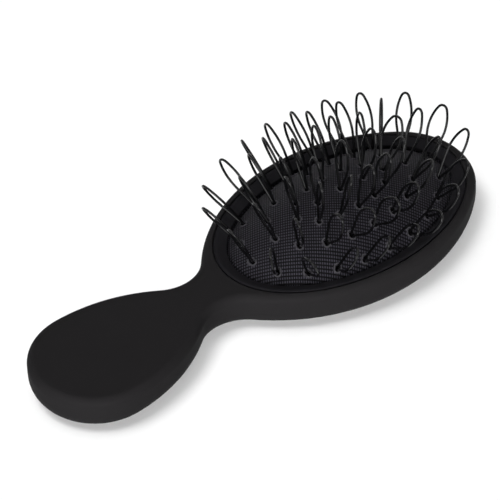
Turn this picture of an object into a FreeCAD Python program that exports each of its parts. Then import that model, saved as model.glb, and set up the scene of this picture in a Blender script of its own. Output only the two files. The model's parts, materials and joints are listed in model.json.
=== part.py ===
"""Oval loop brush: a two-shell body, a clamped cushion pad and 51 teardrop loops. Sizes in mm.

X runs along the brush with the handle at -X, Y runs across it and Z points up through the loops.
The flat of the back lies on Z = 0, and X = 0 is the middle of the brush's length.
"""

import FreeCAD, Part

import math
import os

import Sketcher

V = FreeCAD.Vector

SIZES = (
    # Body outline, seen from above
    ("overall_length", 138.0),
    ("rim_length", 2.73),
    ("rim_width", 2.33),
    ("head_end_radius", 19.8),
    ("handle_end_radius", 17.4),
    ("neck_half_width", 6.49),
    ("neck_radius", 11.0),
    # Shells
    ("back_depth", 6.3),
    ("back_round", 5.9),
    ("top_round", 2.1),
    ("edge_land", 0.1),
    ("shell_wall", 1.8),
    ("collar_wall", 1.8),
    ("pin_radius", 1.5),
    ("pin_clearance", 0.1),
    ("pin_length", 3.0),
    ("post_radius", 3.2),
    ("pin_pitch", 22.0),
    ("pin_inset", 17.0),
    # Frame that holds the pad down
    ("frame_band", 3.22),
    ("frame_height", 1.8),
    ("frame_drop", 0.9),
    ("frame_land", 0.75),
    ("seam_gap", 0.45),
    ("seam_depth", 0.8),
    ("seam_fit", 0.1),
    ("seam_bevel", 0.2),
    ("ledge_thickness", 1.4),
    ("ledge_setback", 0.3),
    # Cushion pad
    ("pad_half_length", 34.0),
    ("pad_half_width", 21.4),
    ("pad_edge_gap", 0.35),
    ("pad_rise", 9.3),
    ("pad_wall", 1.6),
    ("flange_thickness", 1.2),
    ("flange_reach", 2.0),
    # Loops
    ("loop_length", 15.7),
    ("loop_half_width", 2.85),
    ("loop_side_radius", 10.0),
    ("loop_tip_radius", 1.7),
    ("loop_root_radius", 1.5),
    ("filament_radius", 0.33),
    ("leg_half_gap", 0.42),
    ("bead_radius", 1.1),
    ("bead_gap", 0.2),
    ("hole_clearance", 0.25),
    # Rows of loops
    ("ring_edge_length", 3.85),
    ("ring_edge_width", 2.2),
    ("ring_pitch_length", 7.7),
    ("ring_gap_width", 0.15),
    ("loop_gap", 0.05),
    ("row_pitch", 7.6),
    ("row_end_gap", 6.5),
)

# Latitude at which the dome's ellipsoid is cut off, and the most of its room that the neck's round takes
DOME_LATITUDE_DEG = 60.0
NECK_ROUND_SHARE = 0.3

# Sizes that follow from the ones above
FOLLOWING = (
    ("head_half_length", "pad_half_length + frame_band + seam_gap + rim_length"),
    ("head_half_width", "pad_half_width + frame_band + seam_gap + rim_width"),
    ("head_tip_offset", "head_half_length - head_end_radius"),
    (
        "head_side_radius",
        "(head_tip_offset ^ 2 + head_half_width ^ 2 - head_end_radius ^ 2)"
        " / (2 * (head_half_width - head_end_radius))",
    ),
    ("head_side_drop", "head_side_radius - head_half_width"),
    ("pad_x", "overall_length / 2 - head_half_length"),
    ("handle_x", "handle_end_radius - overall_length / 2"),
    # The neck's arc touches the head's side, and the handle's side arc then touches the neck's
    ("neck_room", "pad_x - handle_x - sqrt(head_side_radius ^ 2 - (neck_half_width + head_side_drop) ^ 2)"),
    ("neck_round", "min(neck_radius; neck_round_share * neck_room)"),
    (
        "neck_x",
        "pad_x - sqrt((head_side_radius + neck_round) ^ 2"
        " - (neck_half_width + neck_round + head_side_drop) ^ 2)",
    ),
    ("neck_rise", "neck_half_width + neck_round - handle_end_radius"),
    (
        "handle_side_radius",
        "((neck_x - handle_x) ^ 2 + neck_rise ^ 2 - neck_round ^ 2) / (2 * (neck_round - neck_rise))",
    ),
    ("ledge_z", "back_depth + ledge_thickness"),
    ("flange_z", "ledge_z + flange_thickness"),
    ("top_z", "flange_z + frame_height"),
    # Rounds stay inside the wall that carries them
    ("back_edge_round", "min(back_round; back_depth - edge_land; neck_half_width - edge_land)"),
    (
        "top_edge_round",
        "min(top_round; rim_width - seam_bevel - edge_land; rim_length - seam_bevel - edge_land;"
        " top_z - ledge_z)",
    ),
    ("dome_height", "pad_rise / (1 - sin(dome_latitude_deg * 1 deg))"),
    ("dome_half_length", "(pad_half_length - pad_edge_gap) / cos(dome_latitude_deg * 1 deg)"),
    ("dome_half_width", "(pad_half_width - pad_edge_gap) / cos(dome_latitude_deg * 1 deg)"),
    ("dome_z", "flange_z - dome_height * sin(dome_latitude_deg * 1 deg)"),
    ("ring_half_length", "pad_half_length - pad_edge_gap - ring_edge_length"),
    ("ring_half_width", "pad_half_width - pad_edge_gap - ring_edge_width"),
    ("ring_pitch_width", "2 * loop_half_width + ring_gap_width"),
    ("loop_spacing", "2 * loop_half_width + loop_gap"),
)

# Most loops in each ring, from the outermost in, and in the row down the middle
RING_COUNTS = (20, 16, 12)
ROW_COUNT = 3

# How each loop stands out of true: its twist, and its leans about its thickness and its width, in degrees
STANCE_DEG = (
    (
        (2, -8, 5), (-4, -7, 4), (-5, -8, -3), (-2, -1, -7), (-15, 1, -8),
        (-7, -0.4, -2), (-18, 2, -2), (10, -1, -1), (1, -3, -7), (3, -5, -4),
        (-4, 0, 2), (-44, 3, 0), (-2, 4, -3), (-54, 4, 6), (-49, 0, 6),
        (-39, 1, 4), (-24, 4, 0), (-14, -2, 0), (-14, -3, -1), (-14, -8, 7),
    ),
    (
        (-13, -5, 6), (-40, -4, 1), (-5, -7, -5), (-13, -4, -7), (-10, 0, -3),
        (-16, -1, -2), (-8, -2, 2), (-8, -6, 1), (-6, -1, -2), (-20, 6, -1),
        (-19, 6, 7), (-15, 7, 6), (-5, 6, 2), (-18, 7, -1), (-28, 3, 0),
        (-28, 4, 3),
    ),
    (
        (15, -2, 10), (-19, 1, -2), (-12, -2, -1), (-13, 3, 3), (-17, 0, 2),
        (-16, 1, 1), (-14, 0, 1), (-28, 2, 3), (-41, 2, 6), (-13, 0, 4),
        (-11, 1, 1), (-18, 2, 4),
    ),
    (
        (-8, 1, 4), (-9, 1, 4), (-10, 4, 4),
    ),
)

doc = FreeCAD.newDocument("loop_brush")
sheet = doc.addObject("Spreadsheet::Sheet", "sizes")
ANGLES = (("dome_latitude_deg", DOME_LATITUDE_DEG), ("neck_round_share", NECK_ROUND_SHARE))
CELLS = [(alias, str(value)) for alias, value in SIZES + ANGLES]
CELLS += [(alias, "=" + formula) for alias, formula in FOLLOWING]
for row, (alias, content) in enumerate(CELLS, start=1):
    sheet.set("A%d" % row, alias)
    sheet.set("B%d" % row, content)
    sheet.setAlias("B%d" % row, alias)
    sheet.recompute()
doc.recompute()


def size(alias):
    return float(sheet.get(alias))


def cell(alias):
    return "sizes." + alias


# Levels and stations that several sub-parts share
PAD_X = cell("pad_x")
LEDGE_Z = cell("ledge_z")
FLANGE_Z = cell("flange_z")
TOP_Z = cell("top_z")

pad_x = size("pad_x")
flange_z = size("flange_z")

# Two heights closer than this count as one level
SAME_LEVEL = 1e-6


def bind(obj, **expressions):
    for name, text in expressions.items():
        obj.setExpression(name, text)
    return obj


def at(obj, x="0", y="0", z="0"):
    for axis, text in (("x", x), ("y", y), ("z", z)):
        obj.setExpression("Placement.Base." + axis, text)
    return obj


# Outline sketches for the shells


def outline_circles(inset):
    """Centres and radii of the arcs on the +Y side of the body outline, drawn in by inset."""
    end_r = size("handle_end_radius")
    side_r = size("handle_side_radius")
    neck_r = size("neck_round")
    tip_r = size("head_end_radius")
    head_r = size("head_side_radius")
    handle = V(size("handle_x"), 0, 0)
    side = V(handle.x, end_r - side_r, 0)
    neck = V(size("neck_x"), size("neck_half_width") + neck_r, 0)
    head = V(pad_x, -size("head_side_drop"), 0)
    tip = V(pad_x + size("head_tip_offset"), 0, 0)
    return {
        "handle": (handle, end_r - inset),
        "side": (side, side_r - inset),
        "neck": (neck, neck_r + inset),
        "head": (head, head_r - inset),
        "tip": (tip, tip_r - inset),
    }


def arc_between(centre, radius, start, end):
    first = math.atan2(start.y - centre.y, start.x - centre.x)
    last = math.atan2(end.y - centre.y, end.x - centre.x)
    if last <= first:
        last += 2 * math.pi
    return Part.ArcOfCircle(Part.Circle(centre, V(0, 0, 1), radius), first, last)


def mirrored(point):
    return V(point.x, -point.y, 0)


def outline_sketch(body, name, level, inset_alias=None):
    """Closed outline of eight tangent arcs, every radius and centre bound to the sheet."""
    inset = size(inset_alias) if inset_alias else 0.0
    less = " - sizes.%s" % inset_alias if inset_alias else ""
    more = " + sizes.%s" % inset_alias if inset_alias else ""
    circles = outline_circles(inset)
    handle, end_r = circles["handle"]
    side, side_r = circles["side"]
    neck, neck_r = circles["neck"]
    head, head_r = circles["head"]
    tip, tip_r = circles["tip"]
    top = V(handle.x, end_r, 0)
    side_neck = side + V(neck - side).normalize() * side_r
    neck_head = head + V(neck - head).normalize() * head_r
    head_tip = tip + V(tip - head).normalize() * tip_r

    sketch = body.newObject("Sketcher::SketchObject", name)
    plane = [f for f in body.Origin.OriginFeatures if f.Role == "XY_Plane"][0]
    sketch.AttachmentSupport = (plane, [""])
    sketch.MapMode = "FlatFace"
    sketch.setExpression("AttachmentOffset.Base.z", level)
    arcs = [
        arc_between(handle, end_r, top, mirrored(top)),
        arc_between(mirrored(side), side_r, mirrored(top), mirrored(side_neck)),
        arc_between(mirrored(neck), neck_r, mirrored(neck_head), mirrored(side_neck)),
        arc_between(mirrored(head), head_r, mirrored(neck_head), mirrored(head_tip)),
        arc_between(tip, tip_r, mirrored(head_tip), head_tip),
        arc_between(head, head_r, head_tip, neck_head),
        arc_between(neck, neck_r, side_neck, neck_head),
        arc_between(side, side_r, side_neck, top),
    ]
    for arc in arcs:
        sketch.addGeometry(arc, False)
    start, end, centre = 1, 2, 3
    joins = (
        (0, end, 1, start),
        (1, end, 2, end),
        (2, start, 3, start),
        (3, end, 4, start),
        (4, end, 5, start),
        (5, end, 6, end),
        (6, start, 7, start),
        (7, end, 0, start),
    )
    for first, first_end, second, second_end in joins:
        sketch.addConstraint(Sketcher.Constraint("Tangent", first, first_end, second, second_end))

    def drive(label, constraint, text):
        index = sketch.addConstraint(constraint)
        sketch.renameConstraint(index, label)
        sketch.setExpression("Constraints." + label, text)

    def radius(label, geo, value, text):
        drive(label, Sketcher.Constraint("Radius", geo, value), text)

    def station(label, geo, value, text):
        drive(label, Sketcher.Constraint("DistanceX", -1, 1, geo, centre, value), text)

    radius("handle_radius", 0, end_r, "sizes.handle_end_radius" + less)
    radius("tip_radius", 4, tip_r, "sizes.head_end_radius" + less)
    for label, geo in (("right", 1), ("left", 7)):
        radius("side_%s" % label, geo, side_r, "sizes.handle_side_radius" + less)
        sketch.addConstraint(Sketcher.Constraint("Vertical", 0, centre, geo, centre))
    for label, geo in (("right", 2), ("left", 6)):
        radius("neck_%s" % label, geo, neck_r, "sizes.neck_round" + more)
    for geo in (0, 4):
        sketch.addConstraint(Sketcher.Constraint("PointOnObject", geo, centre, -1))
    station("handle_station", 0, handle.x, cell("handle_x"))
    station("tip_station", 4, tip.x, "sizes.pad_x + sizes.head_tip_offset")
    for label, geo, sign in (("right", 3, 1), ("left", 5, -1)):
        station("head_station_%s" % label, geo, head.x, PAD_X)
        offset = Sketcher.Constraint("DistanceY", -1, 1, geo, centre, -sign * head.y)
        drive("head_offset_%s" % label, offset, "%d * sizes.head_side_drop" % sign)
    return sketch


def outline_block(name, level, height, inset_alias=None, rounded=None, round_level=None):
    """Body padded up from the outline, with the edges at round_level rounded if asked."""
    body = doc.addObject("PartDesign::Body", name)
    sketch = outline_sketch(body, name + "_outline", level, inset_alias)
    pad = body.newObject("PartDesign::Pad", name + "_pad")
    pad.Profile = sketch
    pad.setExpression("Length", height)
    doc.recompute()
    if rounded:
        box = pad.Shape.BoundBox
        height_at = box.ZMax if round_level == "top" else box.ZMin
        edges = []
        for number, edge in enumerate(pad.Shape.Edges, start=1):
            if edge.BoundBox.ZLength < SAME_LEVEL and abs(edge.BoundBox.ZMin - height_at) < SAME_LEVEL:
                edges.append("Edge%d" % number)
        fillet = body.newObject("PartDesign::Fillet", name + "_round")
        fillet.Base = (pad, edges)
        fillet.setExpression("Radius", rounded)
        doc.recompute()
    return body


# Elliptical prisms and bands around the pad's centre


def ellipse(name, grow, level, base_length="sizes.pad_half_length", base_width="sizes.pad_half_width"):
    curve = doc.addObject("Part::Ellipse", name)
    bind(
        curve,
        MajorRadius="%s + %s" % (base_length, grow),
        MinorRadius="%s + %s" % (base_width, grow),
    )
    return at(curve, PAD_X, "0", level)


def prism(name, grow, level, height):
    solid = doc.addObject("Part::Extrusion", name)
    solid.Base = ellipse(name + "_oval", grow, level)
    solid.DirMode = "Custom"
    solid.Dir = V(0, 0, 1)
    solid.Solid = True
    return bind(solid, LengthFwd=height)


def taper(name, low, high):
    """Straight-sided solid between two ovals, each given by how far it is grown and its level."""
    solid = doc.addObject("Part::Loft", name)
    solid.Sections = [ellipse("%s_%s" % (name, end), *oval) for end, oval in (("low", low), ("high", high))]
    solid.Solid = True
    solid.Ruled = True
    return solid


def cylinder(name, radius, height, x, z):
    solid = doc.addObject("Part::Cylinder", name)
    bind(solid, Radius=radius, Height=height)
    return at(solid, x, "0", z)


def fuse(name, *solids):
    joined = doc.addObject("Part::MultiFuse", name)
    joined.Shapes = list(solids)
    return joined


def cut(name, base, tool):
    result = doc.addObject("Part::Cut", name)
    result.Base = base
    result.Tool = tool
    return result


# Back shell: hollow, with a post and socket for each of the front shell's pins

PIN_X = (
    "(sizes.pin_inset - sizes.overall_length / 2)",
    "(sizes.pin_inset + sizes.pin_pitch - sizes.overall_length / 2)",
)

back_block = outline_block("back_block", "0", cell("back_depth"), None, cell("back_edge_round"), "bottom")
back_core = outline_block(
    "back_core",
    cell("shell_wall"),
    cell("back_depth"),
    "shell_wall",
    "sizes.back_edge_round - sizes.shell_wall",
    "bottom",
)
posts = [
    cylinder(
        "post_%d" % n,
        cell("post_radius"),
        "sizes.back_depth - sizes.shell_wall / 2",
        x,
        "sizes.shell_wall / 2",
    )
    for n, x in enumerate(PIN_X, start=1)
]
sockets = [
    cylinder(
        "socket_%d" % n,
        "sizes.pin_radius + sizes.pin_clearance",
        "sizes.pin_length + sizes.pin_clearance",
        x,
        "sizes.back_depth - sizes.pin_length - sizes.pin_clearance",
    )
    for n, x in enumerate(PIN_X, start=1)
]
back_tray = cut("back_tray", back_block, back_core)
back_joined = fuse("back_joined", back_tray, *posts)
back_shell = cut("back_shell", back_joined, fuse("sockets", *sockets))

# Front shell: handle hollow, rebate for the frame, ledge under the pad's flange, locating pins

front_block = outline_block(
    "front_block",
    cell("back_depth"),
    "%s - sizes.back_depth" % TOP_Z,
    None,
    cell("top_edge_round"),
    "top",
)
front_core = outline_block(
    "front_core",
    cell("back_depth"),
    "%s - sizes.back_depth - sizes.shell_wall" % TOP_Z,
    "shell_wall",
)
handle_zone = doc.addObject("Part::Box", "handle_zone")
bind(
    handle_zone,
    Length="sizes.overall_length - sizes.head_half_length - sizes.pad_half_length - sizes.frame_band"
    " - sizes.seam_gap - sizes.collar_wall",
    Width="2 * sizes.head_half_width",
    Height=TOP_Z,
)
at(handle_zone, "-sizes.overall_length / 2", "-sizes.head_half_width", "0")
handle_hollow = doc.addObject("Part::Common", "handle_hollow")
handle_hollow.Base = front_core
handle_hollow.Tool = handle_zone
rebate = prism("rebate", "sizes.frame_band + sizes.seam_gap", LEDGE_Z, TOP_Z)
ledge_hole = prism("ledge_hole", "sizes.ledge_setback", "0", TOP_Z)
rebate_bevel = taper(
    "rebate_bevel",
    ("sizes.frame_band + sizes.seam_gap - sizes.seam_bevel", "%s - 2 * sizes.seam_bevel" % TOP_Z),
    ("sizes.frame_band + sizes.seam_gap + 2 * sizes.seam_bevel", "%s + sizes.seam_bevel" % TOP_Z),
)
front_hollows = fuse("front_hollows", handle_hollow, rebate, rebate_bevel, ledge_hole)
front_tray = cut("front_tray", front_block, front_hollows)
pins = [
    cylinder(
        "pin_%d" % n,
        cell("pin_radius"),
        "%s - sizes.shell_wall / 2 - sizes.back_depth + sizes.pin_length" % TOP_Z,
        x,
        "sizes.back_depth - sizes.pin_length",
    )
    for n, x in enumerate(PIN_X, start=1)
]
front_shell = fuse("front_shell", front_tray, *pins)

# Pad frame: oval ring with a foot that fits the rebate, a bevelled crest and a slope down to the pad

frame_wall = prism("frame_wall", cell("frame_band"), FLANGE_Z, cell("frame_height"))
frame_bevel = taper(
    "frame_bevel",
    ("sizes.frame_band + sizes.frame_height", "%s - sizes.seam_bevel" % FLANGE_Z),
    ("sizes.frame_band - 2 * sizes.seam_bevel", "%s + sizes.seam_bevel" % TOP_Z),
)
frame_crest = doc.addObject("Part::Common", "frame_crest")
frame_crest.Base = frame_wall
frame_crest.Tool = frame_bevel
frame_foot = prism(
    "frame_foot",
    "sizes.frame_band + sizes.seam_gap - sizes.seam_fit",
    FLANGE_Z,
    "sizes.frame_height - sizes.seam_depth",
)
frame_blank = fuse("frame_blank", frame_crest, frame_foot)
frame_bore = prism("frame_bore", "0", "0", "2 * %s" % TOP_Z)
slope = taper(
    "frame_slope",
    ("0", "%s - sizes.frame_drop" % TOP_Z),
    ("sizes.frame_band - sizes.frame_land", TOP_Z),
)
pad_frame = cut("pad_frame", frame_blank, fuse("frame_hollow", frame_bore, slope))

# Cushion pad: domed membrane with a clamped flange and one hole for each loop

LATITUDE = "sizes.dome_latitude_deg * 1 deg"


def dome(name, inset):
    """Cap of an ellipsoid that stands on the flange's top, drawn in all round by inset."""
    height = "(sizes.pad_rise - %s) / (1 - sin(%s))" % (inset, LATITUDE)
    cap = doc.addObject("Part::Ellipsoid", name)
    bind(
        cap,
        Radius1=height,
        Radius2="(sizes.pad_half_length - sizes.pad_edge_gap - %s) / cos(%s)" % (inset, LATITUDE),
        Radius3="(sizes.pad_half_width - sizes.pad_edge_gap - %s) / cos(%s)" % (inset, LATITUDE),
        Angle1=LATITUDE,
    )
    cap.Angle2 = 90
    return at(cap, PAD_X, "0", "%s - %s * sin(%s)" % (FLANGE_Z, height, LATITUDE))


def dome_point(x, y):
    """Point on the dome's outer face above x, y from the pad's centre, and the normal there."""
    a, b, c = size("dome_half_length"), size("dome_half_width"), size("dome_height")
    up = c * math.sqrt(1 - (x / a) ** 2 - (y / b) ** 2)
    point = V(pad_x + x, y, size("dome_z") + up)
    return point, V(x / a**2, y / b**2, up / c**2).normalize()


def loop_spots():
    """Where each row's loops stand, from the pad's centre: rings along its edge, then the middle row."""
    half_length, half_width = size("ring_half_length"), size("ring_half_width")
    rows = []
    for count in RING_COUNTS:
        if half_width < size("loop_spacing"):
            break
        oval = Part.Ellipse(V(0, 0, 0), half_length, half_width).toShape()
        count = min(count, int(oval.Length / size("loop_spacing")))
        rows.append(oval.discretize(Number=count + 1)[:-1])
        inner_end = half_length
        half_length -= size("ring_pitch_length")
        half_width -= size("ring_pitch_width")
    each_side = min(ROW_COUNT // 2, int((inner_end - size("row_end_gap")) / size("row_pitch")))
    rows.append([V(n * size("row_pitch"), 0, 0) for n in range(-each_side, each_side + 1)])
    return rows


def loop_frames():
    """Placement of every loop: its root on the dome, Z along it, Y across the brush, with its own stance."""
    placed = []
    for spots, stances in zip(loop_spots(), STANCE_DEG):
        for n, spot in enumerate(spots):
            point, normal = dome_point(spot.x, spot.y)
            across = (V(0, 1, 0) - normal * normal.y).normalize()
            stand = FreeCAD.Rotation(across.cross(normal), across, normal, "ZYX")
            twist, lean_across, lean_along = stances[n % len(stances)]
            for axis, turn in ((V(1, 0, 0), lean_across), (V(0, 1, 0), lean_along), (V(0, 0, 1), twist)):
                stand = stand.multiply(FreeCAD.Rotation(axis, turn))
            placed.append(FreeCAD.Placement(point, stand))
    return placed


frames = loop_frames()
flange = prism("flange", cell("flange_reach"), LEDGE_Z, cell("flange_thickness"))
well = prism("well", "-sizes.pad_edge_gap - sizes.pad_wall", "0", FLANGE_Z)
pad_solid = fuse("pad_solid", dome("dome_outer", "0"), flange)
pad_hollow = fuse("pad_hollow", dome("dome_inner", "sizes.pad_wall"), well)
pad_skin = cut("pad_skin", pad_solid, pad_hollow)
holes = []
for n, frame in enumerate(frames, start=1):
    hole = doc.addObject("Part::Cylinder", "hole_%02d" % n)
    bind(
        hole,
        Radius="sizes.leg_half_gap + sizes.filament_radius + sizes.hole_clearance",
        Height="4 * sizes.pad_wall",
    )
    hole.Placement = frame.multiply(FreeCAD.Placement(V(0, 0, -2 * size("pad_wall")), FreeCAD.Rotation()))
    holes.append(hole)
cushion_pad = cut("cushion_pad", pad_skin, fuse("holes", *holes))

# Loops: one teardrop of filament with its anchor bead, copied to every root


def loop_path():
    """Planar path in YZ: up one leg, round the tip and down the other, all lines and tangent arcs."""
    gap = size("leg_half_gap")
    root_r = size("loop_root_radius")
    side_r = size("loop_side_radius")
    tip_r = size("loop_tip_radius")
    width = size("loop_half_width")
    depth = size("pad_wall") + size("bead_gap") + size("bead_radius")
    tip_z = size("loop_length") - size("filament_radius") - tip_r
    side_z = tip_z - math.sqrt((side_r - tip_r) ** 2 - (side_r - width) ** 2)
    root = V(0, gap + root_r, 0)
    side = V(0, width - side_r, side_z)
    tip = V(0, 0, tip_z)
    # The straight of the leg touches the root arc on one side and the side arc on the other
    base = root.y - side.y
    lean = math.atan2(side_z, base) - math.acos((side_r + root_r) / math.hypot(base, side_z))

    def on(centre, radius, angle):
        return centre + V(0, math.cos(angle), math.sin(angle)) * radius

    reach = tip - side
    meet = math.atan2(reach.z, reach.y)
    foot = V(0, gap, -depth)
    leg = [
        Part.LineSegment(foot, V(0, gap, 0)),
        Part.Arc(V(0, gap, 0), on(root, root_r, math.pi - lean / 2), on(root, root_r, math.pi - lean)),
        Part.LineSegment(on(root, root_r, math.pi - lean), on(side, side_r, -lean)),
        Part.Arc(
            on(side, side_r, -lean),
            on(side, side_r, (meet - lean) / 2),
            on(side, side_r, meet),
        ),
    ]
    cap = Part.Arc(
        on(tip, tip_r, meet),
        V(0, 0, tip_z + tip_r),
        on(tip, tip_r, math.pi - meet),
    )
    edges = [piece.toShape() for piece in leg]
    others = [edge.mirror(V(0, 0, 0), V(0, 1, 0)) for edge in edges]
    return Part.Wire(Part.__sortEdges__(edges + [cap.toShape()] + others))


path = doc.addObject("Part::Feature", "loop_path")
path.Shape = loop_path()
section = doc.addObject("Part::Circle", "loop_section")
bind(section, Radius=cell("filament_radius"))
at(section, "0", cell("leg_half_gap"), "-sizes.pad_wall - sizes.bead_gap - sizes.bead_radius")
filament = doc.addObject("Part::Sweep", "filament")
filament.Sections = [section]
filament.Spine = (path, ["Edge%d" % n for n in range(1, len(path.Shape.Edges) + 1)])
filament.Solid = True
filament.Frenet = False
bead = doc.addObject("Part::Sphere", "bead")
bind(bead, Radius=cell("bead_radius"))
at(bead, "0", "0", "-sizes.pad_wall - sizes.bead_gap - sizes.bead_radius")
loop_solid = fuse("loop_solid", filament, bead)
doc.recompute()

loops = []
for n, frame in enumerate(frames, start=1):
    loop = doc.addObject("Part::Feature", "loop_%02d" % n)
    loop.Shape = loop_solid.Shape.Solids[0]
    loop.Placement = frame
    loops.append(loop)
doc.recompute()

# Check everything and write one file for each sub-part

for obj in doc.Objects:
    if "Invalid" in obj.State or "Error" in obj.State:
        raise RuntimeError("%s did not recompute" % obj.Name)

os.makedirs("parts", exist_ok=True)
for node in [back_shell, front_shell, pad_frame, cushion_pad] + loops:
    node.Label = node.Name
    if node.Shape.isNull() or not node.Shape.isValid() or len(node.Shape.Solids) != 1:
        raise RuntimeError("%s is not one sound solid" % node.Label)
    node.Shape.exportStep("parts/%s.step" % node.Label)
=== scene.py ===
"""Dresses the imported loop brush: materials on its solids, the cushion pad, floor, light and camera."""

import json
import math

import bpy
import numpy as np
from mathutils import Matrix, Vector, geometry


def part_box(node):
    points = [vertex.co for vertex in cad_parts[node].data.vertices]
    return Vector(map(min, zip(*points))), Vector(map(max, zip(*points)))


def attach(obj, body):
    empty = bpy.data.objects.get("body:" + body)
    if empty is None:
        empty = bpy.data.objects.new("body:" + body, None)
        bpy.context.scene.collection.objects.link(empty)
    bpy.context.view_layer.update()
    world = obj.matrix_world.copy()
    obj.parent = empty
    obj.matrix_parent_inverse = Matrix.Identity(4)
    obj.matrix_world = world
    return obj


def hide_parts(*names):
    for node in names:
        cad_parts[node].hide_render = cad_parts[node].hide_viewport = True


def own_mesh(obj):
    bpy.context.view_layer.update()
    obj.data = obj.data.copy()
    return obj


MM = 0.001
WHITE = (1.0, 1.0, 1.0, 1.0)

# Pad sizes as in the part's source, in metres
PAD_HALF_LENGTH = 34.0 * MM
PAD_HALF_WIDTH = 21.4 * MM
PAD_EDGE_GAP = 0.35 * MM
PAD_RISE = 9.3 * MM
PAD_WALL = 1.6 * MM
LEG_HALF_GAP = 0.42 * MM
FILAMENT_RADIUS = 0.33 * MM
DOME_LATITUDE = math.radians(60.0)

# Camera fitted to the photograph: turn about Z, height above the horizon, roll, place and focal length
VIEW_AZIMUTH = math.radians(38.49)
VIEW_ELEVATION = math.radians(41.44)
VIEW_ROLL = math.radians(-2.35)
VIEW_OFFSET = Vector((1.82, 10.72, 896.98)) * MM
FOCAL_PIXELS = 3500.0
IMAGE_PIXELS = 500.0
SENSOR_MM = 36.0
CLIP_START, CLIP_END = 0.01, 10.0

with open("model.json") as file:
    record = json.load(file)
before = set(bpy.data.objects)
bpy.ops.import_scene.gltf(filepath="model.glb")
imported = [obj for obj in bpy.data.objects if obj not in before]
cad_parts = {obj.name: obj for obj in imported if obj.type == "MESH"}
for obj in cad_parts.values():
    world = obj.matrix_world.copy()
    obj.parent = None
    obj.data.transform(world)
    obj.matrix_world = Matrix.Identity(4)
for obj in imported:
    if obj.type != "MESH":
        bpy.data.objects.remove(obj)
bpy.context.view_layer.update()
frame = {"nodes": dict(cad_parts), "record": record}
nodes = frame["nodes"]
joints = frame["record"]["behaviour"]["joints"]
loop_names = sorted(name for name in nodes if name.startswith("loop_"))


# Materials: linear colours, lowest and highest roughness, reflection levels, noise and bump sizes

BODY_COAT = {
    "dark": (0.0125, 0.0119, 0.0125),
    "light": (0.0142, 0.0136, 0.0142),
    "roughness": (0.45, 0.53),
    "gloss": 0.008,
}
FRAME_COAT = {
    "dark": (0.0093, 0.0089, 0.0102),
    "light": (0.0111, 0.0107, 0.0122),
    "roughness": (0.46, 0.56),
    "gloss": 0.008,
}
COAT_MOTTLE = {"scale": 90.0, "detail": 4.0, "roughness": 0.6}
COAT_PATCHES = {"scale": 38.0, "detail": 5.0, "roughness": 0.62}
COAT_WAVES = {"scale": 160.0, "detail": 3.0}
COAT_GRAIN = {"scale": 2600.0, "roughness": 0.55}
COAT_WAVE_BUMP = {"strength": 0.12, "distance": 0.06 * MM}
COAT_GRAIN_BUMP = {"strength": 0.25, "distance": 0.02 * MM}
EDGE_POLISH = 0.02
# Largest value that z * (1 - z) takes
EDGE_PEAK = 0.25

FILAMENT_DARK = (0.0015, 0.0015, 0.0017)
FILAMENT_LIGHT = (0.0040, 0.0040, 0.0045)
FILAMENT_ROUGHNESS = (0.05, 0.11)
FILAMENT_GLOSS = 0.14
FILAMENT_STREAK = {"scale": 700.0, "detail": 3.0, "roughness": 0.6}
FILAMENT_BUMP = {"strength": 0.15, "distance": 0.02 * MM}

# Painted shade: the weave's grooves are near black, and the cells show the rubber's lighter colour
WEAVE_GROOVE_SHADE = (0.0010, 0.0009, 0.0012)
WEAVE_LIGHT = (0.0335, 0.0318, 0.0398)
WEAVE_ROUGHNESS = (0.46, 0.58)
WEAVE_GLOSS = 0.03
WEAVE_SHEEN = 0.03
WEAVE_SHEEN_ROUGHNESS = 0.4
WEAVE_TURN = math.radians(-40.0)
WARP_PITCH = 0.60 * MM
WEFT_PITCH = 0.84 * MM
# Heights of the sine across a thread where its painted groove shade ends and its full cell colour begins
THREAD_SPAN = (-0.9, 0.5)
WEAVE_GRAIN = {"scale": 1800.0}
WEAVE_BUMP = {"strength": 0.7, "distance": 0.10 * MM}
WEAVE_GRAIN_BUMP = {"strength": 0.2, "distance": 0.02 * MM}
# Painted highlight: the lips round each root take a paler colour that stands in for light caught on their
# crests; the mesh attribute named here weights it
GLINT_ATTRIBUTE = "lip_glint"
LIP_GLINT_COLOUR = (0.052, 0.050, 0.056)

PAPER_DARK = (0.955, 0.955, 0.955)
PAPER_LIGHT = (0.985, 0.985, 0.985)
PAPER_ROUGHNESS = 0.9
PAPER_FIBRE = {"scale": 400.0, "detail": 3.0}
PAPER_GLOW = 0.01

# The part of a noise's range that is spread over a roughness range
NOISE_SPAN = (0.3, 0.7)


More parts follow.
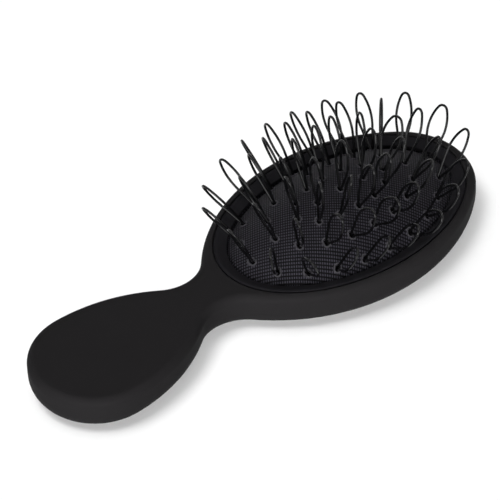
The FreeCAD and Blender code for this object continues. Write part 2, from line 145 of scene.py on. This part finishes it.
class Shader:
    """A new material with its Principled shader and a few helpers to wire nodes."""

    def __init__(self, name):
        self.material = bpy.data.materials.new(name)
        self.material.use_nodes = True
        self.tree = self.material.node_tree
        self.principled = self.tree.nodes["Principled BSDF"]
        self.place = self.node("ShaderNodeTexCoord").outputs["Object"]

    def node(self, kind, **settings):
        made = self.tree.nodes.new(kind)
        for key, value in settings.items():
            setattr(made, key, value)
        return made

    def link(self, source, target):
        self.tree.links.new(source, target)

    def set(self, **sockets):
        for key, value in sockets.items():
            self.principled.inputs[key.replace("_", " ")].default_value = value

    def feed(self, **sockets):
        for key, source in sockets.items():
            self.link(source, self.principled.inputs[key.replace("_", " ")])

    def noise(self, scale, detail=2.0, roughness=0.5):
        made = self.node("ShaderNodeTexNoise")
        made.inputs["Scale"].default_value = scale
        made.inputs["Detail"].default_value = detail
        made.inputs["Roughness"].default_value = roughness
        self.link(self.place, made.inputs["Vector"])
        return made.outputs["Fac"]

    def math(self, operation, first, second=None):
        made = self.node("ShaderNodeMath", operation=operation)
        for socket, value in zip(made.inputs, (first, second)):
            if value is None:
                continue
            if isinstance(value, (int, float)):
                socket.default_value = value
            else:
                self.link(value, socket)
        return made.outputs[0]

    def ramp(self, factor, span, result):
        """Maps a factor's span to a lowest and highest result."""
        made = self.node("ShaderNodeMapRange")
        for key, value in zip(("From Min", "From Max", "To Min", "To Max"), (*span, *result)):
            made.inputs[key].default_value = value
        self.link(factor, made.inputs["Value"])
        return made.outputs["Result"]

    def colours(self, factor, first, second):
        made = self.node("ShaderNodeMix", data_type="RGBA")
        sockets = [socket for socket in made.inputs if socket.type == "RGBA"]
        for socket, value in zip(sockets, (first, second)):
            if isinstance(value, tuple):
                socket.default_value = (*value, 1.0)
            else:
                self.link(value, socket)
        self.link(factor, made.inputs["Factor"])
        return [socket for socket in made.outputs if socket.type == "RGBA"][0]

    def bump(self, height, strength, distance, below=None):
        made = self.node("ShaderNodeBump")
        made.inputs["Strength"].default_value = strength
        made.inputs["Distance"].default_value = distance
        self.link(height, made.inputs["Height"])
        if below is not None:
            self.link(below, made.inputs["Normal"])
        return made.outputs["Normal"]


def seen_rays(tree):
    """A socket that is 1 for rays from the camera, in reflections and through clear things."""
    rays = tree.nodes.new("ShaderNodeLightPath").outputs
    seen = rays["Is Camera Ray"]
    for kind in ("Is Glossy Ray", "Is Transmission Ray"):
        either = tree.nodes.new("ShaderNodeMath")
        either.operation = "MAXIMUM"
        tree.links.new(seen, either.inputs[0])
        tree.links.new(rays[kind], either.inputs[1])
        seen = either.outputs[0]
    return seen


def soft_touch(name, dark, light, roughness, gloss):
    """Matt rubberised lacquer: fine grain, faint mottling, smoother patches and edges where it is handled."""
    shader = Shader(name)
    patches = shader.ramp(shader.noise(**COAT_PATCHES), NOISE_SPAN, roughness)
    facing = shader.node("ShaderNodeSeparateXYZ")
    shader.link(shader.node("ShaderNodeNewGeometry").outputs["Normal"], facing.inputs[0])
    up = facing.outputs["Z"]
    edge = shader.math("MULTIPLY", up, shader.math("SUBTRACT", 1.0, up))
    polish = shader.ramp(edge, (0.0, EDGE_PEAK), (0.0, EDGE_POLISH))
    waves = shader.bump(shader.noise(**COAT_WAVES), **COAT_WAVE_BUMP)
    shader.feed(
        Base_Color=shader.colours(shader.noise(**COAT_MOTTLE), dark, light),
        Roughness=shader.math("SUBTRACT", patches, polish),
        Normal=shader.bump(shader.noise(**COAT_GRAIN), **COAT_GRAIN_BUMP, below=waves),
    )
    shader.set(Specular_IOR_Level=gloss)
    return shader.material


def gloss_filament(name):
    """Drawn nylon: near-black gloss with faint streaks."""
    shader = Shader(name)
    streak = shader.noise(**FILAMENT_STREAK)
    shader.feed(
        Base_Color=shader.colours(streak, FILAMENT_DARK, FILAMENT_LIGHT),
        Roughness=shader.ramp(streak, NOISE_SPAN, FILAMENT_ROUGHNESS),
        Normal=shader.bump(streak, **FILAMENT_BUMP),
    )
    shader.set(Specular_IOR_Level=FILAMENT_GLOSS)
    return shader.material


def woven_rubber(name):
    """Dark rubber moulded with a fine plain weave laid on the bias: lighter cells, with dark lines between
    them that are painted shade in the grooves; the lips round the roots take a painted highlight.
    """
    shader = Shader(name)
    threads = []
    for turn, pitch in ((WEAVE_TURN, WARP_PITCH), (WEAVE_TURN + math.pi / 2, WEFT_PITCH)):
        along = shader.node("ShaderNodeVectorMath", operation="DOT_PRODUCT")
        shader.link(shader.place, along.inputs[0])
        along.inputs[1].default_value = (math.cos(turn), math.sin(turn), 0.0)
        phase = shader.math("MULTIPLY", along.outputs["Value"], 2 * math.pi / pitch)
        threads.append(shader.ramp(shader.math("SINE", phase), THREAD_SPAN, (0.0, 1.0)))
    cell = shader.math("MULTIPLY", *threads)
    grain = shader.noise(**WEAVE_GRAIN)
    # Painted shade in the grooves between the cells
    woven = shader.colours(cell, WEAVE_GROOVE_SHADE, WEAVE_LIGHT)
    lip_glint = shader.node("ShaderNodeAttribute", attribute_name=GLINT_ATTRIBUTE).outputs["Fac"]
    weave = shader.bump(cell, **WEAVE_BUMP)
    shader.feed(
        # Painted highlight: the lips round the roots take a paler colour
        Base_Color=shader.colours(lip_glint, woven, LIP_GLINT_COLOUR),
        Roughness=shader.ramp(grain, NOISE_SPAN, WEAVE_ROUGHNESS),
        Normal=shader.bump(grain, **WEAVE_GRAIN_BUMP, below=weave),
    )
    shader.set(
        Specular_IOR_Level=WEAVE_GLOSS,
        Sheen_Weight=WEAVE_SHEEN,
        Sheen_Roughness=WEAVE_SHEEN_ROUGHNESS,
    )
    return shader.material


def white_paper(name):
    """White paper that takes the brush's shadow, with a little more white where it is seen or mirrored."""
    shader = Shader(name)
    shader.feed(
        Base_Color=shader.colours(shader.noise(**PAPER_FIBRE), PAPER_DARK, PAPER_LIGHT),
        Emission_Strength=shader.math("MULTIPLY", seen_rays(shader.tree), PAPER_GLOW),
    )
    shader.set(Roughness=PAPER_ROUGHNESS, Specular_IOR_Level=0.0, Emission_Color=WHITE)
    return shader.material


def dress(name, material):
    obj = nodes[name]
    if not obj.material_slots:
        obj.data.materials.append(material)
    for slot in obj.material_slots:
        slot.material = material


body_coat = soft_touch("soft_touch_body", **BODY_COAT)
frame_coat = soft_touch("soft_touch_frame", **FRAME_COAT)
filament = gloss_filament("gloss_filament")
for name in ("back_shell", "front_shell"):
    dress(name, body_coat)
dress("pad_frame", frame_coat)
for name in loop_names:
    dress(name, filament)


# Cushion pad: the crowned membrane, puckered where each loop comes through

pad_low, pad_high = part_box("cushion_pad")
PAD_X = (pad_low[0] + pad_high[0]) / 2
CROWN_Z = pad_high[2]
RIM_Z = CROWN_Z - PAD_RISE
EDGE_LENGTH = PAD_HALF_LENGTH - PAD_EDGE_GAP
EDGE_WIDTH = PAD_HALF_WIDTH - PAD_EDGE_GAP
DOME_A = EDGE_LENGTH / math.cos(DOME_LATITUDE)
DOME_B = EDGE_WIDTH / math.cos(DOME_LATITUDE)
DOME_C = PAD_RISE / (1 - math.sin(DOME_LATITUDE))
DOME_Z = CROWN_Z - DOME_C
SKIN = 0.75 * PAD_WALL

# Even grid of points out to a share of the pad's edge, then rings of points at further shares
GRID_STEP = 0.5 * MM
GRID_SHARE = 0.967
RIM_SHARES = (0.975, 0.982, 0.988, 0.994, 1.0, 1.012, 1.03, 1.055)
RIM_POINTS = 280
TUCK_DEPTH = 0.7 * MM
TUCK_SHARES = (0.972, 1.0, 1.012, 1.03)
TUCK_AMOUNTS = (0.0, 1.0, 1.0, 0.0)

# Hole at each root and the lip round it: steps outside the hole's edge, and the lip's crest
HOLE_POINTS = 22
HOLE_ROOM = 0.18 * MM
LIP_STEPS = (0.0, 0.10 * MM, 0.20 * MM, 0.32 * MM, 0.46 * MM, 0.64 * MM, 0.88 * MM)
LIP_HEIGHT = 0.32 * MM
LIP_PLACE = 0.30 * MM
LIP_WIDTH = 0.26 * MM
LIP_CLEAR = 1.15 * MM

# Search distances round a root, room for rounding and the loop's share that gives its direction
LIP_SEARCH = 4 * MM
HOLE_SEARCH = 2 * MM
HOLE_SLACK = 0.01 * MM
WELD_MM = 1e-6
TIP_SHARE = 0.9
DOME_ROUNDS = 4


def dome_height(x, y):
    inside = 1 - (x / DOME_A) ** 2 - (y / DOME_B) ** 2
    return DOME_Z + DOME_C * np.sqrt(np.maximum(inside, 0.0))


def dome_normal(x, y):
    up = dome_height(x, y) - DOME_Z
    normal = np.stack([x / DOME_A**2, y / DOME_B**2, up / DOME_C**2], axis=-1)
    return normal / np.linalg.norm(normal, axis=-1, keepdims=True)


def tuck(x, y):
    """How far the pad dips beside its frame, where it turns down to its flange."""
    share = np.hypot(x / EDGE_LENGTH, y / EDGE_WIDTH)
    return TUCK_DEPTH * np.interp(share, TUCK_SHARES, TUCK_AMOUNTS)


def unit(vector):
    return vector / np.linalg.norm(vector)


def roots():
    """Each loop's root on the dome, with its directions across, through and along the loop."""
    for joint in joints:
        if not joint["name"].endswith("_sway"):
            continue
        mesh = nodes[joint["name"].removesuffix("_sway")].data
        places = np.empty(3 * len(mesh.vertices))
        mesh.vertices.foreach_get("co", places)
        pivot = np.array(joint["pos_m"])
        reach = places.reshape(-1, 3) - pivot
        far = np.linalg.norm(reach, axis=1)
        across = unit(np.array(joint["axis"]))
        along = reach[far > TIP_SHARE * far.max()].mean(axis=0)
        along = unit(along - across * (along @ across))
        root = pivot - [PAD_X, 0, 0] + along * PAD_WALL / 2
        yield root, across, np.cross(across, along), along


def onto_dome(points, along):
    """Slides points along a direction until they lie on the dome."""
    for _ in range(DOME_ROUNDS):
        normal = dome_normal(points[:, 0], points[:, 1])
        short = dome_height(points[:, 0], points[:, 1]) - points[:, 2]
        points = points + along * (short * normal[:, 2] / (normal @ along))[:, None]
    return points


def root_ring(root, across, through, along, step):
    """Points on the dome around a root, a step outside the edge of its hole."""
    angle = (np.arange(HOLE_POINTS) + 0.5) * 2 * math.pi / HOLE_POINTS
    radius = FILAMENT_RADIUS + HOLE_ROOM + step
    a = np.sign(np.cos(angle)) * LEG_HALF_GAP + radius * np.cos(angle)
    b = radius * np.sin(angle)
    return onto_dome(root + a[:, None] * across + b[:, None] * through, along)


def hole_distance(points, root, across, through):
    """How far points lie outside the edge of a root's hole."""
    away = points - root
    past = np.maximum(np.abs(away @ across) - LEG_HALF_GAP, 0)
    return np.hypot(past, away @ through) - FILAMENT_RADIUS - HOLE_ROOM


def beyond(points, found, search, least):
    """Which points lie further than the least distance outside every hole near them."""
    free = np.ones(len(points), bool)
    for root, across, through, _ in found:
        near = np.linalg.norm(points - root, axis=1) < search
        free[near] &= hole_distance(points[near], root, across, through) > least
    return free


def grid_points(found):
    """Even points on the dome, clear of the lips."""
    columns = np.arange(-EDGE_LENGTH, EDGE_LENGTH, GRID_STEP)
    rows = np.arange(-EDGE_WIDTH, EDGE_WIDTH, GRID_STEP * math.sqrt(0.75))
    x, y = np.meshgrid(columns, rows, indexing="ij")
    x[:, 1::2] += GRID_STEP / 2
    x, y = x.ravel(), y.ravel()
    inside = np.hypot(x / EDGE_LENGTH, y / EDGE_WIDTH) < GRID_SHARE
    grid = np.stack([x[inside], y[inside], dome_height(x[inside], y[inside])], axis=-1)
    return grid[beyond(grid, found, LIP_SEARCH, LIP_CLEAR)]


def pad_points(found):
    """Places, directions to the underside, how much painted highlight each place takes on the lips, and the
    holes' edges.
    """
    grid = grid_points(found)
    tops, downs = [grid], [-dome_normal(grid[:, 0], grid[:, 1])]
    lip_glint, edges = [np.zeros(len(grid))], []
    angle = np.arange(RIM_POINTS) * 2 * math.pi / RIM_POINTS
    for share in RIM_SHARES:
        x, y = share * EDGE_LENGTH * np.cos(angle), share * EDGE_WIDTH * np.sin(angle)
        tops.append(np.stack([x, y, np.maximum(dome_height(x, y), RIM_Z)], axis=-1))
        downs.append(np.tile([0.0, 0.0, -1.0], (RIM_POINTS, 1)) if share >= 1 else -dome_normal(x, y))
        lip_glint.append(np.zeros(RIM_POINTS))
    first = sum(len(part) for part in tops)
    for root, across, through, along in found:
        edges += [(first + k, first + (k + 1) % HOLE_POINTS) for k in range(HOLE_POINTS)]
        for step in LIP_STEPS:
            ring = root_ring(root, across, through, along, step)
            normal = dome_normal(ring[:, 0], ring[:, 1])
            crest = math.exp(-(((step - LIP_PLACE) / LIP_WIDTH) ** 2))
            share = step / LIP_STEPS[-1]
            tops.append(ring + normal * (LIP_HEIGHT * crest))
            downs.append(-(normal * share + along * (1 - share)))
            # Painted highlight, strongest on the lip's crest
            lip_glint.append(np.full(HOLE_POINTS, crest**2))
            first += HOLE_POINTS
    tops = np.concatenate(tops)
    tops[:, 2] -= tuck(tops[:, 0], tops[:, 1])
    return tops, np.concatenate(downs), np.concatenate(lip_glint), edges


def pad_mesh():
    """Domed skin with a raised lip and a snug hole at every root, closed by its underside."""
    found = list(roots())
    tops, downs, lip_glint, edges = pad_points(found)
    flat = [Vector((x / MM, y / MM)) for x, y, _ in tops]
    _, _, faces, sources, _, _ = geometry.delaunay_2d_cdt(flat, edges, [], 0, WELD_MM)
    origin = np.array([source[0] for source in sources])
    triangles = origin[np.array(faces)]
    triangles = triangles[beyond(tops[triangles].mean(axis=1), found, HOLE_SEARCH, -HOLE_SLACK)]
    sides = np.concatenate([triangles[:, [0, 1]], triangles[:, [1, 2]], triangles[:, [2, 0]]])
    present = {tuple(side) for side in sides.tolist()}
    walls = [(b, a, a + len(tops), b + len(tops)) for a, b in present if (b, a) not in present]
    points = np.concatenate([tops, tops + downs * SKIN]) + [PAD_X, 0, 0]
    under = triangles[:, ::-1] + len(tops)
    mesh = bpy.data.meshes.new("woven_cushion")
    mesh.from_pydata(points.tolist(), [], triangles.tolist() + under.tolist() + walls)
    mesh.polygons.foreach_set("use_smooth", [True] * len(mesh.polygons))
    # Share of painted highlight at each point, none on the underside
    glint_layer = mesh.attributes.new(GLINT_ATTRIBUTE, "FLOAT", "POINT")
    glint_layer.data.foreach_set("value", np.concatenate([lip_glint, np.zeros(len(lip_glint))]))
    mesh.update()
    return mesh


pad = bpy.data.objects.new("woven_cushion", pad_mesh())
bpy.context.scene.collection.objects.link(pad)
pad.data.materials.append(woven_rubber("woven_rubber"))
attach(pad, "cushion")
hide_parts("cushion_pad")
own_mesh(pad)


# Floor and light

FLOOR_SIZE = 6.0

# Direction that each lamp shines from, its spread in degrees and its strength
HIGH_LAMPS = {
    "overhead": ((0.0, 0.12, 0.95), 60.0, 0.52),
    "key": ((-0.30, 0.12, 0.88), 26.0, 1.20),
    "back": ((-0.10, 0.22, 0.93), 40.0, 0.31),
}
LOW_LAMPS = {
    "front": ((-0.72, -0.90, 0.30), 40.0, 4.15),
    "left": ((-1.00, -0.55, 0.30), 40.0, 1.40),
}


def group(name, members):
    """A collection outside the scene that says what a lamp lights."""
    made = bpy.data.collections.new(name)
    for member in members:
        made.objects.link(member)
    return made


def lamp(name, place, spread, strength, lights=None, shadow=True):
    """A distant soft lamp; it lights one group, or everything where none is given."""
    data = bpy.data.lights.new(name, "SUN")
    data.angle = math.radians(spread)
    data.energy = strength
    data.use_shadow = shadow
    made = bpy.data.objects.new(name, data)
    made.rotation_euler = (-Vector(place)).to_track_quat("-Z", "Y").to_euler()
    made.light_linking.receiver_collection = lights
    bpy.context.scene.collection.objects.link(made)


bpy.ops.mesh.primitive_plane_add(size=FLOOR_SIZE, location=(0, 0, 0))
floor = bpy.context.object
floor.name = "floor"
floor.data.materials.append(white_paper("white_paper"))

# Each low lamp is a pair, so that it shades the brush but draws no long shadow over the floor
brush_group = group("lit_brush", [*nodes.values(), pad])
floor_group = group("lit_floor", [floor])
for name, settings in HIGH_LAMPS.items():
    lamp(name, *settings)
for name, settings in LOW_LAMPS.items():
    lamp(name + "_brush", *settings, lights=brush_group)
    lamp(name + "_floor", *settings, lights=floor_group, shadow=False)

# The world is a white backdrop where it is seen or mirrored, and gives no other light
world = bpy.data.worlds.new("studio")
bpy.context.scene.world = world
world.use_nodes = True
backdrop = world.node_tree.nodes["Background"]
backdrop.inputs["Color"].default_value = WHITE
world.node_tree.links.new(seen_rays(world.node_tree), backdrop.inputs["Strength"])


# Camera


def fitted_camera():
    """The camera that sees the brush as the photograph does."""
    ca, sa = math.cos(VIEW_AZIMUTH), math.sin(VIEW_AZIMUTH)
    ce, se = math.cos(VIEW_ELEVATION), math.sin(VIEW_ELEVATION)
    ahead = Vector((sa * ce, ca * ce, -se))
    right = Vector((ca, -sa, 0.0))
    up = right.cross(ahead)
    turned_right = right * math.cos(VIEW_ROLL) + up * math.sin(VIEW_ROLL)
    turned_up = up * math.cos(VIEW_ROLL) - right * math.sin(VIEW_ROLL)
    axes = Matrix((turned_right, -turned_up, ahead))
    place = -(axes.transposed() @ VIEW_OFFSET)
    data = bpy.data.cameras.new("camera")
    data.sensor_fit = "HORIZONTAL"
    data.sensor_width = SENSOR_MM
    data.lens = FOCAL_PIXELS / IMAGE_PIXELS * SENSOR_MM
    data.clip_start, data.clip_end = CLIP_START, CLIP_END
    camera = bpy.data.objects.new("camera", data)
    turn = Matrix((turned_right, turned_up, -ahead)).transposed()
    camera.matrix_world = Matrix.Translation(place) @ turn.to_4x4()
    bpy.context.scene.collection.objects.link(camera)
    return camera


bpy.context.scene.camera = fitted_camera()
bpy.context.scene.view_settings.view_transform = "Standard"
